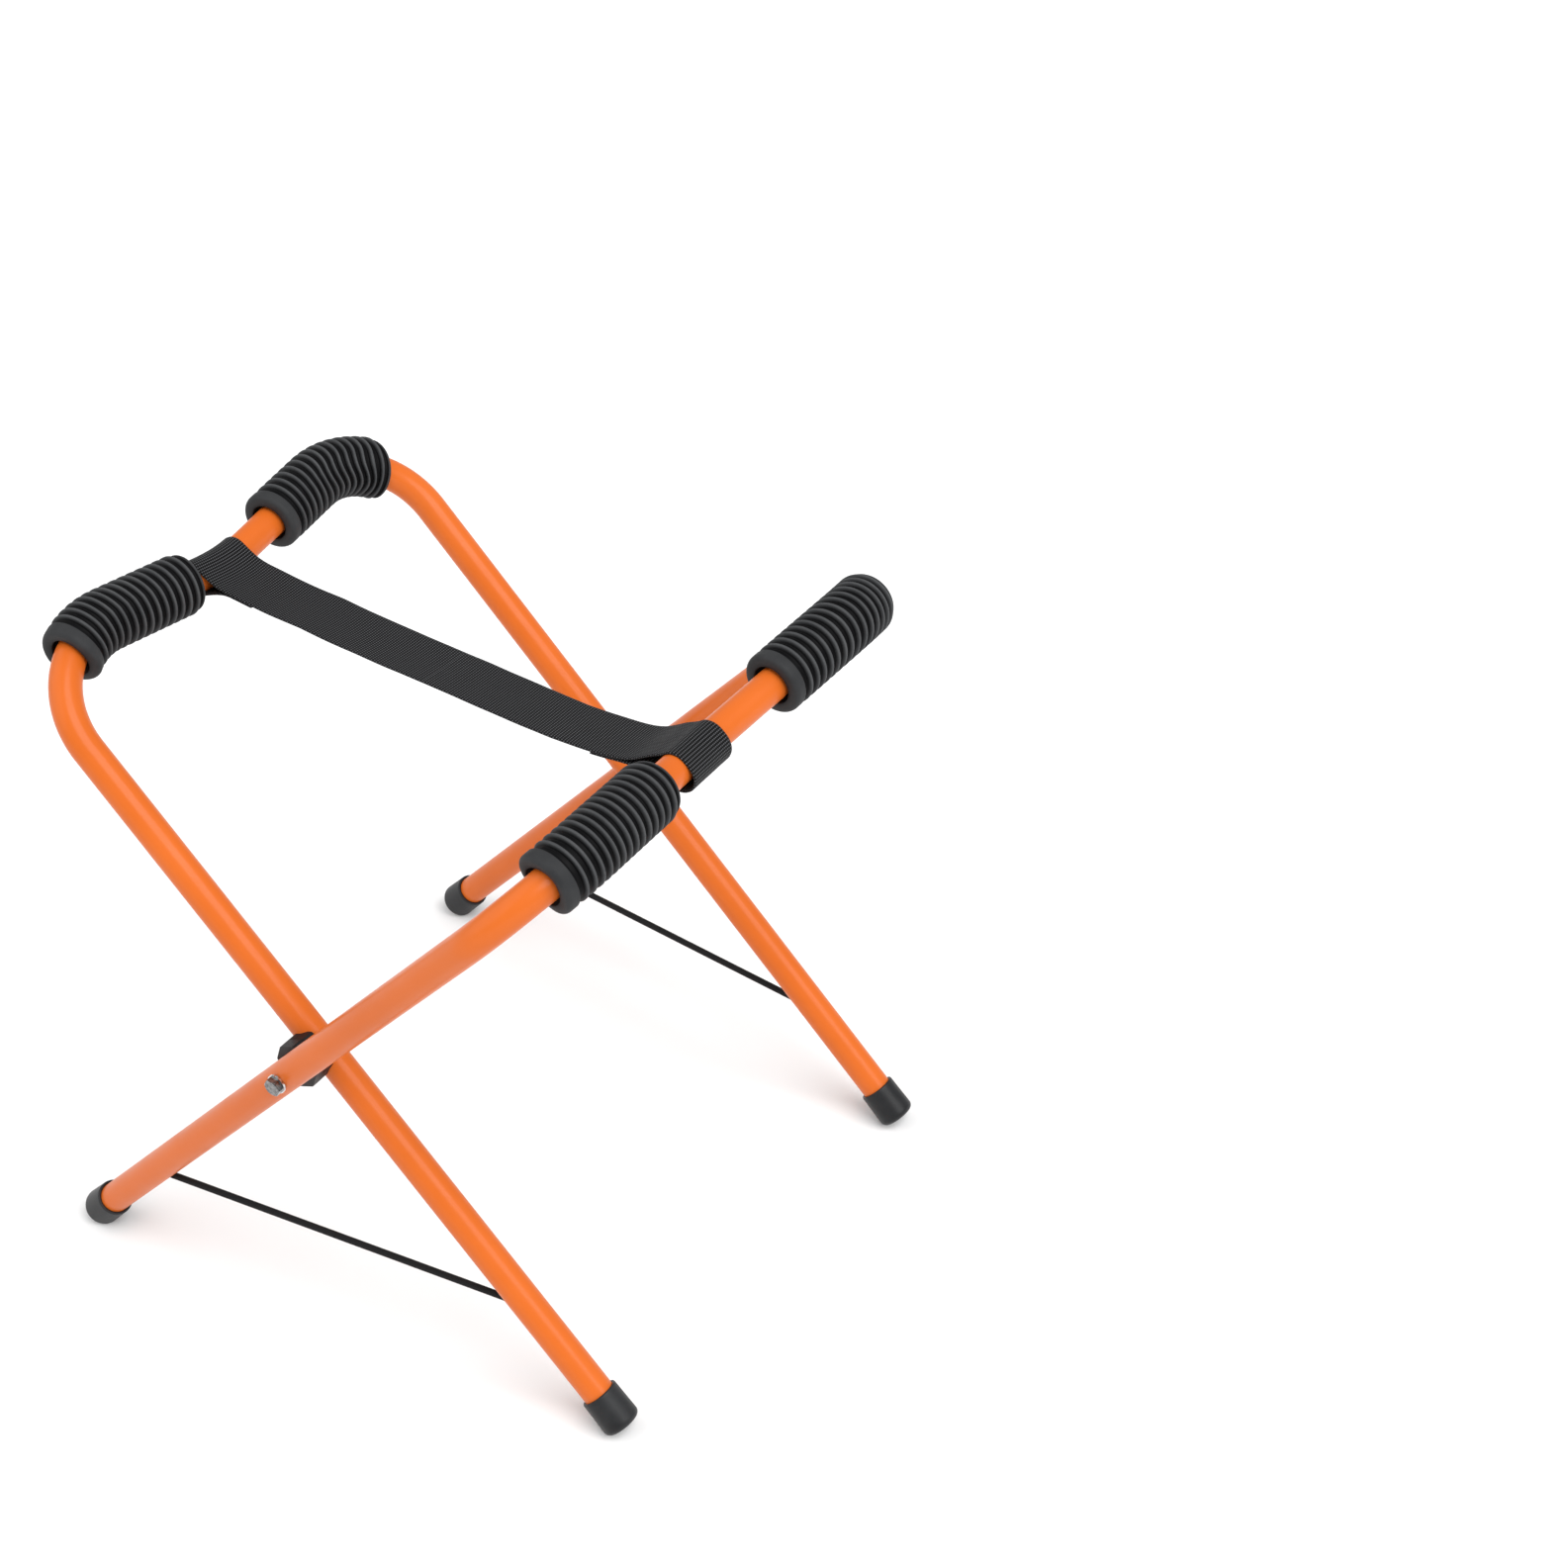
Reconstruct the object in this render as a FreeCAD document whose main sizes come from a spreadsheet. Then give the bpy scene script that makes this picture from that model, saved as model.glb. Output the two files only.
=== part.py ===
import FreeCAD, Part
import math
import os

# A folding X-frame sawhorse: two bent tube frames that cross at a bolted pivot, with a webbing strap
# between their crossbars and a cord between each pair of lower legs.
# World frame: origin on the floor under the middle of the pivot axis, +Z up, the pivot axis along Y.
# The outer (wider) frame leans so that its crossbar is at +X, the inner one so that its own is at -X.

DIMENSIONS = {
    # the bent tube frames
    "tube_od": 25.4,
    "tube_wall": 1.5,
    "half_angle": 43.65,
    "pivot_height": 279.0,
    "inner_width": 405.0,
    "outer_width": 481.0,
    "bar_top_rise": 354.2,
    "bar_dip": 27.0,
    "corner_radius": 74.0,
    "dip_radius": 150.0,
    "leg_drop": 369.8,
    # the hand grips on the crossbars
    "grip_od": 50.8,
    "grip_length": 130.0,
    "inner_grip_front": 39.0,
    "inner_grip_rear": 59.0,
    "outer_grip_front": 78.0,
    "outer_grip_rear": 71.0,
    # the foot caps
    "cap_od": 31.8,
    "cap_length": 32.0,
    "cap_floor": 5.0,
    "cap_round": 5.0,
    # the pivot hardware
    "bolt_od": 8.0,
    "pivot_gap": 0.08,
    "head_flats": 13.0,
    "head_height": 5.3,
    "washer_od": 16.0,
    "washer_height": 1.6,
    "nut_height": 6.0,
    "collar_od": 11.6,
    "collar_height": 2.0,
    "insert_od": 10.4,
    "insert_height": 1.6,
    "bolt_reach": 2.0,
    "face_gap": 0.2,
    "saddle_flats": 36.0,
    "saddle_wing": 4.0,
    "saddle_gap": 0.3,
    "saddle_edge": 2.0,
    # the strap
    "strap_width": 51.0,
    "strap_ply": 2.2,
    "strap_belly": 2.0,
    "strap_fall": 33.0,
    "knee_reach": 24.0,
    "loop_reach": 38.0,
    "seam_reach": 75.0,
    "seam_rise": -8.5,
    "strap_sag": 3.0,
    "strap_shift_inner": -9.0,
    "strap_shift_outer": -24.5,
    # the limit cords
    "cord_od": 5.6,
    "cord_height": 93.0,
    "cord_hole_od": 6.4,
    "knot_od": 10.5,
    # running fits
    "fit_gap": 0.05,
    "soft_gap": 0.3,
}
HEX_ROUND = math.cos(math.radians(30))
OCTAGON_ROUND = math.cos(math.radians(22.5))
Y_AXIS = FreeCAD.Vector(0, 1, 0)
Z_AXIS = FreeCAD.Vector(0, 0, 1)

doc = FreeCAD.newDocument("folding_sawhorse")
sheet = doc.addObject("Spreadsheet::Sheet", "dims")
for row, (alias, value) in enumerate(DIMENSIONS.items(), start=1):
    sheet.set(f"A{row}", alias)
    sheet.set(f"B{row}", str(value))
    sheet.setAlias(f"B{row}", alias)
doc.recompute()

nodes = []


def size(alias):
    """A driving dimension, read back from the sheet."""
    return float(sheet.get(alias))


def bind(obj, **expressions):
    """Bind an object's properties to expressions of the sheet's cells."""
    for prop, expression in expressions.items():
        obj.setExpression(prop, expression)
    return obj


def cylinder(name, radius, height, base=FreeCAD.Vector(), axis=Z_AXIS):
    obj = doc.addObject("Part::Cylinder", name)
    obj.Placement = FreeCAD.Placement(base, FreeCAD.Rotation(Z_AXIS, axis))
    return bind(obj, Radius=radius, Height=height)


def prism(name, sides, circumradius, height, base, axis):
    obj = doc.addObject("Part::Prism", name)
    obj.Polygon = sides
    obj.Placement = FreeCAD.Placement(base, FreeCAD.Rotation(Z_AXIS, axis))
    return bind(obj, Circumradius=circumradius, Height=height)


def fused(name, shapes):
    obj = doc.addObject("Part::MultiFuse", name)
    obj.Shapes = shapes
    return obj


def cut(name, base, tool):
    obj = doc.addObject("Part::Cut", name)
    obj.Base = base
    obj.Tool = tool
    return obj


def fixed(name, shape):
    """A shape made from the sheet's sizes where no parametric feature fits."""
    obj = doc.addObject("Part::Feature", name)
    obj.Shape = shape
    return obj


def finish(obj, label):
    """Name a finished sub-part: the label is also its file's name."""
    obj.Label = label
    nodes.append(obj)
    return obj


class Frame:
    """One bent tube frame, drawn in its own plane: the pivot axis at the origin, Y across, Z up the legs."""

    def __init__(self, name, width_alias, lean):
        self.name = name
        self.lean = lean
        self.width_alias = width_alias
        self.half = size(width_alias) / 2
        self.slope = math.atan2(size("bar_dip"), self.half)
        bend = size("corner_radius")
        rise = bend * (math.tan(self.slope) + 1 / math.cos(self.slope) - 1)
        self.corner = size("bar_top_rise") + rise
        self.vertex = self.corner - size("bar_dip")
        self.low_bar = self.vertex + size("dip_radius") * (1 / math.cos(self.slope) - 1)
        angle = FreeCAD.Rotation(Y_AXIS, lean * size("half_angle"))
        self.placement = FreeCAD.Placement(FreeCAD.Vector(0, 0, size("pivot_height")), angle)

    def place(self, obj):
        """Lean a finished piece with this frame."""
        obj.Placement = FreeCAD.Placement(FreeCAD.Vector(), FreeCAD.Rotation(Y_AXIS * self.lean, 1.0))
        bind(obj, **{
            "Placement.Base.z": "dims.pivot_height",
            "Placement.Rotation.Angle": "dims.half_angle * 1 deg",
        })
        return obj

    def to_world(self, y, z):
        return self.placement.multVec(FreeCAD.Vector(0, y, z))

    def to_local(self, point):
        return self.placement.inverse().multVec(point)

    def local_direction(self, direction):
        return self.placement.Rotation.inverted().multVec(direction)

    def corner_bend(self, side):
        """The bend between the crossbar and one leg: where it starts, its centre and its turn in radians."""
        radius = size("corner_radius")
        turn = math.pi / 2 + self.slope
        along = radius * math.tan(turn / 2)
        outward = FreeCAD.Vector(0, side * math.cos(self.slope), math.sin(self.slope))
        start = FreeCAD.Vector(0, side * self.half, self.corner) - outward * along
        inward = FreeCAD.Vector(0, side * math.sin(self.slope), -math.cos(self.slope))
        return start, start + inward * radius, turn

    def on_bend(self, side, angle):
        """A point on the corner bend, an angle past the end of the straight crossbar."""
        start, centre, _ = self.corner_bend(side)
        turned = FreeCAD.Rotation(FreeCAD.Vector(1, 0, 0), -side * math.degrees(angle))
        return centre + turned.multVec(start - centre)

    def dip_end(self, side):
        """Where the middle bend of the crossbar meets its straight stretch."""
        along = size("dip_radius") * math.tan(self.slope)
        outward = FreeCAD.Vector(0, side * math.cos(self.slope), math.sin(self.slope))
        return FreeCAD.Vector(0, 0, self.vertex) + outward * along

    def on_bar(self, distance, side):
        """A point on the straight stretch of the crossbar, a length of tube from its middle."""
        outward = FreeCAD.Vector(0, side * math.cos(self.slope), math.sin(self.slope))
        past_dip = distance - size("dip_radius") * self.slope
        return self.dip_end(side) + outward * past_dip

    def bar_height(self, y):
        """How high the crossbar's centreline is above the pivot at one place across."""
        reach = size("dip_radius") * math.sin(self.slope)
        if abs(y) >= reach:
            return self.vertex + abs(y) * math.tan(self.slope)
        radius = size("dip_radius")
        return self.low_bar + radius - math.sqrt(radius * radius - y * y)

    def centreline(self):
        """The whole tube's centreline, from one leg's lower end to the other's."""
        _, _, turn = self.corner_bend(1)
        drop = size("leg_drop")
        front = [self.on_bend(-1, turn * part) for part in (1.0, 0.5, 0.0)]
        rear = [self.on_bend(1, turn * part) for part in (0.0, 0.5, 1.0)]
        edges = [
            Part.LineSegment(FreeCAD.Vector(0, -self.half, -drop), front[0]),
            Part.Arc(*front),
            Part.LineSegment(front[2], self.dip_end(-1)),
            Part.Arc(self.dip_end(-1), FreeCAD.Vector(0, 0, self.low_bar), self.dip_end(1)),
            Part.LineSegment(self.dip_end(1), rear[0]),
            Part.Arc(*rear),
            Part.LineSegment(rear[2], FreeCAD.Vector(0, self.half, -drop)),
        ]
        return Part.Wire([edge.toShape() for edge in edges])

    def grip_line(self, side, start):
        """The centreline under one grip: a straight stretch, then part of the corner bend."""
        bend_start, _, _ = self.corner_bend(side)
        begin = self.on_bar(start, side)
        on_straight = (bend_start - begin).Length
        angle = (size("grip_length") - on_straight) / size("corner_radius")
        arc = Part.Arc(bend_start, self.on_bend(side, angle / 2), self.on_bend(side, angle))
        return Part.Wire([Part.LineSegment(begin, bend_start).toShape(), arc.toShape()])


def swept(name, path, radius, start, direction):
    """A round bar along a path, from a circle whose radius is bound to the sheet."""
    spine = fixed(name + "_path", path)
    circle = doc.addObject("Part::Circle", name + "_section")
    circle.Placement = FreeCAD.Placement(start, FreeCAD.Rotation(Z_AXIS, direction))
    bind(circle, Radius=radius)
    sweep = doc.addObject("Part::Sweep", name)
    sweep.Sections = [circle]
    sweep.Spine = (spine, [f"Edge{k + 1}" for k in range(len(path.Edges))])
    sweep.Solid = True
    sweep.Frenet = False
    return sweep


def cord_line(front):
    """The two ends of a limit cord's line, on the centrelines of the outer and the inner leg."""
    reach = (size("pivot_height") - size("cord_height")) * math.tan(math.radians(size("half_angle")))
    at_outer = FreeCAD.Vector(-reach, front * size("outer_width") / 2, size("cord_height"))
    at_inner = FreeCAD.Vector(reach, front * size("inner_width") / 2, size("cord_height"))
    return at_outer, at_inner


def knot_depth():
    """How far along the cord from the leg's centreline a knot sits against the inside of the tube wall."""
    bore = size("tube_od") / 2 - size("tube_wall")
    clear = bore - size("knot_od") / 2 - size("face_gap")
    return clear / math.cos(math.radians(size("half_angle")))


def frame_tube(frame):
    path = frame.centreline()
    start = FreeCAD.Vector(0, -frame.half, -size("leg_drop"))
    outside = swept(frame.name + "_outside", path, "dims.tube_od / 2", start, Z_AXIS)
    inside = swept(frame.name + "_inside", path, "dims.tube_od / 2 - dims.tube_wall", start, Z_AXIS)
    tube = cut(frame.name + "_bent_tube", outside, inside)
    drills = []
    for front in (-1, 1):
        crown = FreeCAD.Vector(0, front * frame.half - size("tube_od"), 0)
        drills.append(
            cylinder(f"{frame.name}_pivot_hole{front}", "dims.bolt_od / 2 + dims.pivot_gap",
                     "dims.tube_od * 2", crown, Y_AXIS)
        )
        ends = cord_line(front)
        here, there = ends if frame.lean > 0 else ends[::-1]
        drills.append(
            cylinder(f"{frame.name}_cord_hole{front}", "dims.cord_hole_od / 2", "dims.tube_od",
                     frame.to_local(here), frame.local_direction(there - here))
        )
    drilled = cut(frame.name + "_drilled", tube, fused(frame.name + "_drills", drills))
    finish(frame.place(drilled), frame.name + "_frame_tube")
    return path.Length


def grip(frame, side, word):
    alias = f"{frame.name}_grip_{word}"
    path = frame.grip_line(side, size(alias))
    start = frame.on_bar(size(alias), side)
    direction = FreeCAD.Vector(0, side * math.cos(frame.slope), math.sin(frame.slope))
    outside = swept(alias + "_outside", path, "dims.grip_od / 2", start, direction)
    inside = swept(alias + "_inside", path, "dims.tube_od / 2 + dims.fit_gap", start, direction)
    finish(frame.place(cut(alias + "_sleeve", outside, inside)), alias)


def foot_cap(frame, side, word):
    """A rubber cap pushed over the leg's end, worn flat where it meets the floor."""
    name = f"{frame.name}_foot_{word}"
    end = FreeCAD.Vector(0, side * frame.half, -size("leg_drop") - size("cap_floor"))
    body = cylinder(name + "_body", "dims.cap_od / 2", "dims.cap_length", end)
    doc.recompute()
    rounded = doc.addObject("Part::Fillet", name + "_rounded")
    rounded.Base = body
    rounded.Edges = [
        (index, size("cap_round"), size("cap_round"))
        for index, edge in enumerate(body.Shape.Edges, start=1)
        if len(edge.Vertexes) == 1 and abs(edge.CenterOfMass.z - end.z) < 1e-6
    ]
    bore = cylinder(name + "_bore", "dims.tube_od / 2 + dims.fit_gap", "dims.cap_length",
                    end + FreeCAD.Vector(0, 0, size("cap_floor")))
    slab = doc.addObject("Part::Box", name + "_floor")
    reach = size("pivot_height")
    bind(slab, Length="dims.pivot_height * 4", Width="dims.outer_width * 2", Height="dims.cap_od")
    corner = FreeCAD.Vector(-2 * reach, -size("outer_width"), -size("cap_od"))
    slab.Placement = frame.placement.inverse() * FreeCAD.Placement(corner, FreeCAD.Rotation())
    cap = cut(name + "_cap", rounded, fused(name + "_tools", [bore, slab]))
    finish(frame.place(cap), name)


def saddle(frame, side, word, facing):
    """A moulded saddle between the crossed legs: flat towards the other frame, grooved round its own leg."""
    name = f"{frame.name}_saddle_{word}"
    middle = (size("inner_width") + size("outer_width")) / 4
    flat = side * (middle - facing * size("saddle_gap") / 2)
    crown = side * (frame.half + facing * size("tube_od") / 2)
    thick = abs(crown - flat) + size("saddle_wing")
    outward = FreeCAD.Vector(0, math.copysign(1, crown - flat), 0)
    block = prism(name + "_block", 8, f"dims.saddle_flats / 2 / {OCTAGON_ROUND}", str(thick),
                  FreeCAD.Vector(0, flat, 0), outward)
    doc.recompute()
    eased = doc.addObject("Part::Fillet", name + "_eased")
    eased.Base = block
    eased.Edges = [
        (index, size("saddle_edge"), size("saddle_edge"))
        for index, edge in enumerate(block.Shape.Edges, start=1)
        if abs(edge.tangentAt(edge.FirstParameter).dot(Y_AXIS)) > 0.9
    ]
    groove = cylinder(name + "_groove", "dims.tube_od / 2 + dims.fit_gap", "dims.saddle_flats * 2",
                      FreeCAD.Vector(0, side * frame.half, -size("saddle_flats")))
    bore = cylinder(name + "_bore", "dims.bolt_od / 2 + dims.pivot_gap", "dims.tube_od * 2",
                    FreeCAD.Vector(0, flat - outward.y * size("tube_od"), 0), outward)
    piece = cut(name + "_piece", eased, fused(name + "_tools", [groove, bore]))
    finish(frame.place(piece), name)


def pivot_hardware():
    """Bolts, washers and nylon-insert lock nuts, along the pivot axis at each side."""
    stacks = {"bolt_head_washers": [], "nut_washers": [], "lock_nuts": [], "nut_inserts": []}
    outer_face = size("outer_width") / 2 + size("tube_od") / 2 + size("face_gap")
    inner_face = size("inner_width") / 2 - size("tube_od") / 2 - size("face_gap")
    height = size("pivot_height")
    for side, word in ((-1, "front"), (1, "rear")):
        inward = FreeCAD.Vector(0, -side, 0)

        def at(y):
            return FreeCAD.Vector(0, side * y, height)

        washer = size("washer_height")
        head_seat = outer_face + washer
        nut_seat = inner_face - washer
        collar_seat = nut_seat - size("nut_height")
        tip = collar_seat - size("collar_height") - size("bolt_reach")
        shank = cylinder(f"shank{side}", "dims.bolt_od / 2", str(head_seat - tip), at(head_seat), inward)
        hexagon = prism(f"head{side}", 6, f"dims.head_flats / 2 / {HEX_ROUND}", "dims.head_height",
                        at(head_seat), -inward)
        bevel = doc.addObject("Part::Cone", f"head_bevel{side}")
        bevel.Placement = hexagon.Placement
        bind(bevel, Radius2="dims.head_flats / 2 - 0.2", Height="dims.head_height",
             Radius1=f"dims.head_flats / 2 - 0.2 + dims.head_height * {math.sqrt(3)}")
        head = doc.addObject("Part::MultiCommon", f"bevelled_head{side}")
        head.Shapes = [hexagon, bevel]
        finish(fused(f"bolt{side}", [head, shank]), f"pivot_bolt_{word}")

        hole = cylinder(f"washer_hole{side}", "dims.bolt_od / 2 + dims.fit_gap", "dims.outer_width",
                        at(head_seat + 1), inward)
        for stack, seat in (("bolt_head_washers", head_seat), ("nut_washers", inner_face)):
            disc = cylinder(f"{stack}{side}", "dims.washer_od / 2", "dims.washer_height", at(seat), inward)
            stacks[stack].append(cut(f"{stack}_ring{side}", disc, hole))
        nut = prism(f"nut{side}", 6, f"dims.head_flats / 2 / {HEX_ROUND}", "dims.nut_height",
                    at(nut_seat), inward)
        collar = cylinder(f"collar{side}", "dims.collar_od / 2", "dims.collar_height",
                          at(collar_seat), inward)
        recess = cylinder(f"recess{side}", "dims.insert_od / 2 + dims.fit_gap", "dims.insert_height",
                          at(collar_seat), inward)
        solid_nut = fused(f"solid_nut{side}", [nut, collar])
        openings = fused(f"nut_openings{side}", [hole, recess])
        stacks["lock_nuts"].append(cut(f"lock_nut{side}", solid_nut, openings))
        insert = cylinder(f"insert{side}", "dims.insert_od / 2", "dims.insert_height - dims.fit_gap",
                          at(collar_seat), inward)
        stacks["nut_inserts"].append(cut(f"insert_ring{side}", insert, hole))
    for label, pair in stacks.items():
        group = doc.addObject("Part::Compound", label)
        group.Links = pair
        finish(group, label)


def strap_edge(frame, shift):
    """The middle of the strap where it lies on a crossbar, and the way its width runs along that bar."""
    half_width = size("strap_width") / 2
    front = frame.to_world(shift - half_width, frame.bar_height(shift - half_width))
    rear = frame.to_world(shift + half_width, frame.bar_height(shift + half_width))
    across = rear - front
    return (front + rear) * 0.5, across.normalize()


def tangent_height(x, z, radius):
    """Where a line from a point meets a circle about the origin, on the circle's lower side."""
    angle = math.atan2(z, x) - math.acos(radius / math.hypot(x, z))
    return radius * math.cos(angle), radius * math.sin(angle)


def loop_radius():
    """The outside of the strap where it is wrapped round a crossbar."""
    return size("tube_od") / 2 + size("soft_gap") + size("strap_ply")


def strap_loop(frame, label, shift):
    """The strap's wrap round its crossbar: it rides with that frame."""
    half_width = size("strap_width") / 2
    front = FreeCAD.Vector(0, shift - half_width, frame.bar_height(shift - half_width))
    bend_start = frame.dip_end(-1).y
    bend_end = shift + half_width
    middle = (bend_start + bend_end) / 2
    bend = [FreeCAD.Vector(0, y, frame.bar_height(y)) for y in (bend_start, middle, bend_end)]
    path = Part.Wire([Part.LineSegment(front, bend[0]).toShape(), Part.Arc(*bend).toShape()])
    direction = FreeCAD.Vector(0, math.cos(frame.slope), -math.sin(frame.slope))
    around = "dims.tube_od / 2 + dims.soft_gap"
    outside = swept(label + "_outside", path, around + " + dims.strap_ply", front, direction)
    inside = swept(label + "_inside", path, around, front, direction)
    finish(frame.place(cut(label + "_wrap", outside, inside)), label)


def strap_return(frame, label, middle, across):
    """The strap's end beside a crossbar: the upper ply, and the lower one coming up to be sewn under it."""
    ply = size("strap_ply")
    top = loop_radius()
    clear = top + 3 * size("soft_gap")
    belly = clear + size("strap_belly")
    fall = math.radians(size("strap_fall"))

    def leaving(distance):
        """Where a ply at this distance from the bar's middle comes clear of the wrap."""
        along = math.sqrt(clear ** 2 - distance ** 2)
        return (
            distance * math.sin(fall) + along * math.cos(fall),
            distance * math.cos(fall) - along * math.sin(fall),
        )

    def falling(distance, x):
        """The point of that ply further out, still on its first straight fall."""
        return x, (distance - x * math.sin(fall)) / math.cos(fall)

    knee = falling(top, size("knee_reach"))
    knee_under = falling(top - ply, size("knee_reach") - ply * math.sin(fall))
    end_top = (size("seam_reach"), size("seam_rise"))
    end_under = (size("seam_reach"), size("seam_rise") - ply)
    slope = (end_under[1] - knee_under[1]) / (end_under[0] - knee_under[0])
    notch_reach = size("loop_reach") - 1
    notch = (notch_reach, knee_under[1] + slope * (notch_reach - knee_under[0]))
    seam = (size("loop_reach"), notch[1] + slope - ply)
    corners = [
        leaving(top),
        knee,
        end_top,
        (size("seam_reach"), size("seam_rise") - 2 * ply),
        seam,
        tangent_height(*seam, belly + ply),
        tangent_height(*notch, belly),
        notch,
        knee_under,
        leaving(top - ply),
    ]
    points = [middle + FreeCAD.Vector(-frame.lean * x, 0, z) for x, z in corners]
    band = doc.addObject("Part::Extrusion", label)
    band.Base = fixed(label + "_profile", Part.makePolygon(points + points[:1]))
    band.DirMode = "Custom"
    band.Dir = across
    band.Symmetric = True
    band.Solid = True
    return bind(band, LengthFwd="dims.strap_width")


def strap_section(name, middle, across):
    """The strap's cut end: one ply thick, as wide as the strap."""
    half = across * (size("strap_width") / 2)
    drop = FreeCAD.Vector(0, 0, -size("strap_ply"))
    corners = [middle - half, middle + half, middle + half + drop, middle - half + drop]
    return fixed(name, Part.makePolygon(corners + corners[:1]))


def strap_web(inner, outer):
    """The strap between the crossbars: two sewn returns and the sagging run that joins them."""
    top = FreeCAD.Vector(0, 0, size("seam_rise"))
    along = FreeCAD.Vector(size("seam_reach"), 0, 0)
    at_inner, across_inner = strap_edge(inner, size("strap_shift_inner"))
    at_outer, across_outer = strap_edge(outer, size("strap_shift_outer"))
    first = at_inner + top + along
    last = at_outer + top - along
    low = (first + last) * 0.5 - FreeCAD.Vector(0, 0, size("strap_sag"))
    loft = doc.addObject("Part::Loft", "strap_run")
    loft.Sections = [
        strap_section("strap_at_inner", first, across_inner),
        strap_section("strap_at_middle", low, (across_inner + across_outer).normalize()),
        strap_section("strap_at_outer", last, across_outer),
    ]
    loft.Solid = True
    loft.Ruled = True
    returns = [
        strap_return(inner, "strap_return_inner", at_inner, across_inner),
        strap_return(outer, "strap_return_outer", at_outer, across_outer),
    ]
    finish(fused("strap_whole", [loft] + returns), "strap_web")


def limit_cords():
    """A cord between the lower legs at each side, pulled straight, knotted inside both tubes."""
    knots = {"outer_cord_knots": [], "inner_cord_knots": []}
    lengths = []
    for side, word in ((-1, "front"), (1, "rear")):
        at_outer, at_inner = cord_line(side)
        along = (at_inner - at_outer).normalize()
        start = knot_depth() + size("knot_od") / 2 + size("soft_gap")
        length = (at_inner - at_outer).Length - 2 * start
        cord = cylinder(f"cord{side}", "dims.cord_od / 2", str(length), at_outer + along * start, along)
        finish(cord, f"limit_cord_{word}")
        lengths.append(length)
        for label, end, way in (("outer_cord_knots", at_outer, 1), ("inner_cord_knots", at_inner, -1)):
            knot = doc.addObject("Part::Sphere", f"{label}{side}")
            knot.Placement.Base = end + along * (way * knot_depth())
            knots[label].append(bind(knot, Radius="dims.knot_od / 2"))
    for label, pair in knots.items():
        group = doc.addObject("Part::Compound", label)
        group.Links = pair
        finish(group, label)
    return lengths


def check_and_write():
    """Stop on any failed object, then write each sub-part to its own file."""
    doc.recompute()
    failed = [o.Name for o in doc.Objects if {"Invalid", "Error"} & set(o.State)]
    if failed:
        raise RuntimeError("failed objects: " + ", ".join(failed))
    for node in nodes:
        if node.Shape.isNull() or not node.Shape.isValid() or not node.Shape.Solids:
            raise RuntimeError(node.Label + " has no valid solid")
    os.makedirs("parts", exist_ok=True)
    for node in nodes:
        node.Shape.exportStep(f"parts/{node.Label}.step")


outer = Frame("outer", "outer_width", 1)
inner = Frame("inner", "inner_width", -1)
tube_lengths = {}
for frame in (outer, inner):
    tube_lengths[frame.name] = frame_tube(frame)
    for side, word in ((-1, "front"), (1, "rear")):
        grip(frame, side, word)
        foot_cap(frame, side, word)
        saddle(frame, side, word, facing=frame.lean * -1)
pivot_hardware()
strap_loop(outer, "strap_loop_outer", size("strap_shift_outer"))
strap_loop(inner, "strap_loop_inner", size("strap_shift_inner"))
strap_web(inner, outer)
cord_lengths = limit_cords()
check_and_write()

wall_area = math.pi * (size("tube_od") - size("tube_wall")) * size("tube_wall")
for name, length in tube_lengths.items():
    print(f"{name} tube: centreline {length:.1f} mm, section times length {wall_area * length:.0f} mm3")
for node in nodes:
    box = node.Shape.BoundBox
    print(f"{node.Label}: {len(node.Shape.Solids)} solid(s), {node.Shape.Volume:.0f} mm3, "
          f"x {box.XMin:.1f}..{box.XMax:.1f}, y {box.YMin:.1f}..{box.YMax:.1f}, z {box.ZMin:.1f}..{box.ZMax:.1f}")
    for face in node.Shape.Faces:
        if "foot" in node.Label and abs(face.CenterOfMass.z) < 1e-4:
            spot = face.CenterOfMass
            print(f"  floor facet at {spot.x:.2f}, {spot.y:.2f}, {spot.z:.3f}, area {face.Area:.1f} mm2")
print("cord lengths:", [round(length, 1) for length in cord_lengths])
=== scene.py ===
import bpy
import math
from mathutils import Matrix, Vector, noise


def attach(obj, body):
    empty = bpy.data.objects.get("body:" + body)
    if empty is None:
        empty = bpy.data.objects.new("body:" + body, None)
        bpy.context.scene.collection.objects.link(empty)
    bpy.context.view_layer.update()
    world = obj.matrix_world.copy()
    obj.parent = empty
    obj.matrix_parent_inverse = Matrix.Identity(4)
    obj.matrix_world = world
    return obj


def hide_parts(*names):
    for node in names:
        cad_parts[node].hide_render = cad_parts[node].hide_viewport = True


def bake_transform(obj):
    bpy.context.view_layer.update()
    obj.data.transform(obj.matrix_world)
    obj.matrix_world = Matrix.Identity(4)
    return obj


# A folding X-frame sawhorse. Lengths are in millimetres until a mesh is made, then in metres.
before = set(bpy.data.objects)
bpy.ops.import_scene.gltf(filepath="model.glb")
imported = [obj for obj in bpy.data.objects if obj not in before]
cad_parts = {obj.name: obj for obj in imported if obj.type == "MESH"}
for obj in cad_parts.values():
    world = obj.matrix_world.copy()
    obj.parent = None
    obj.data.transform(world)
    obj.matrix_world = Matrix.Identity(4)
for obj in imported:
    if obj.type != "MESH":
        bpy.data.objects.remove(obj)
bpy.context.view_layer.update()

MM = 0.001
UP = Vector((0, 0, 1))
ACROSS = Vector((0, 1, 0))

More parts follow.
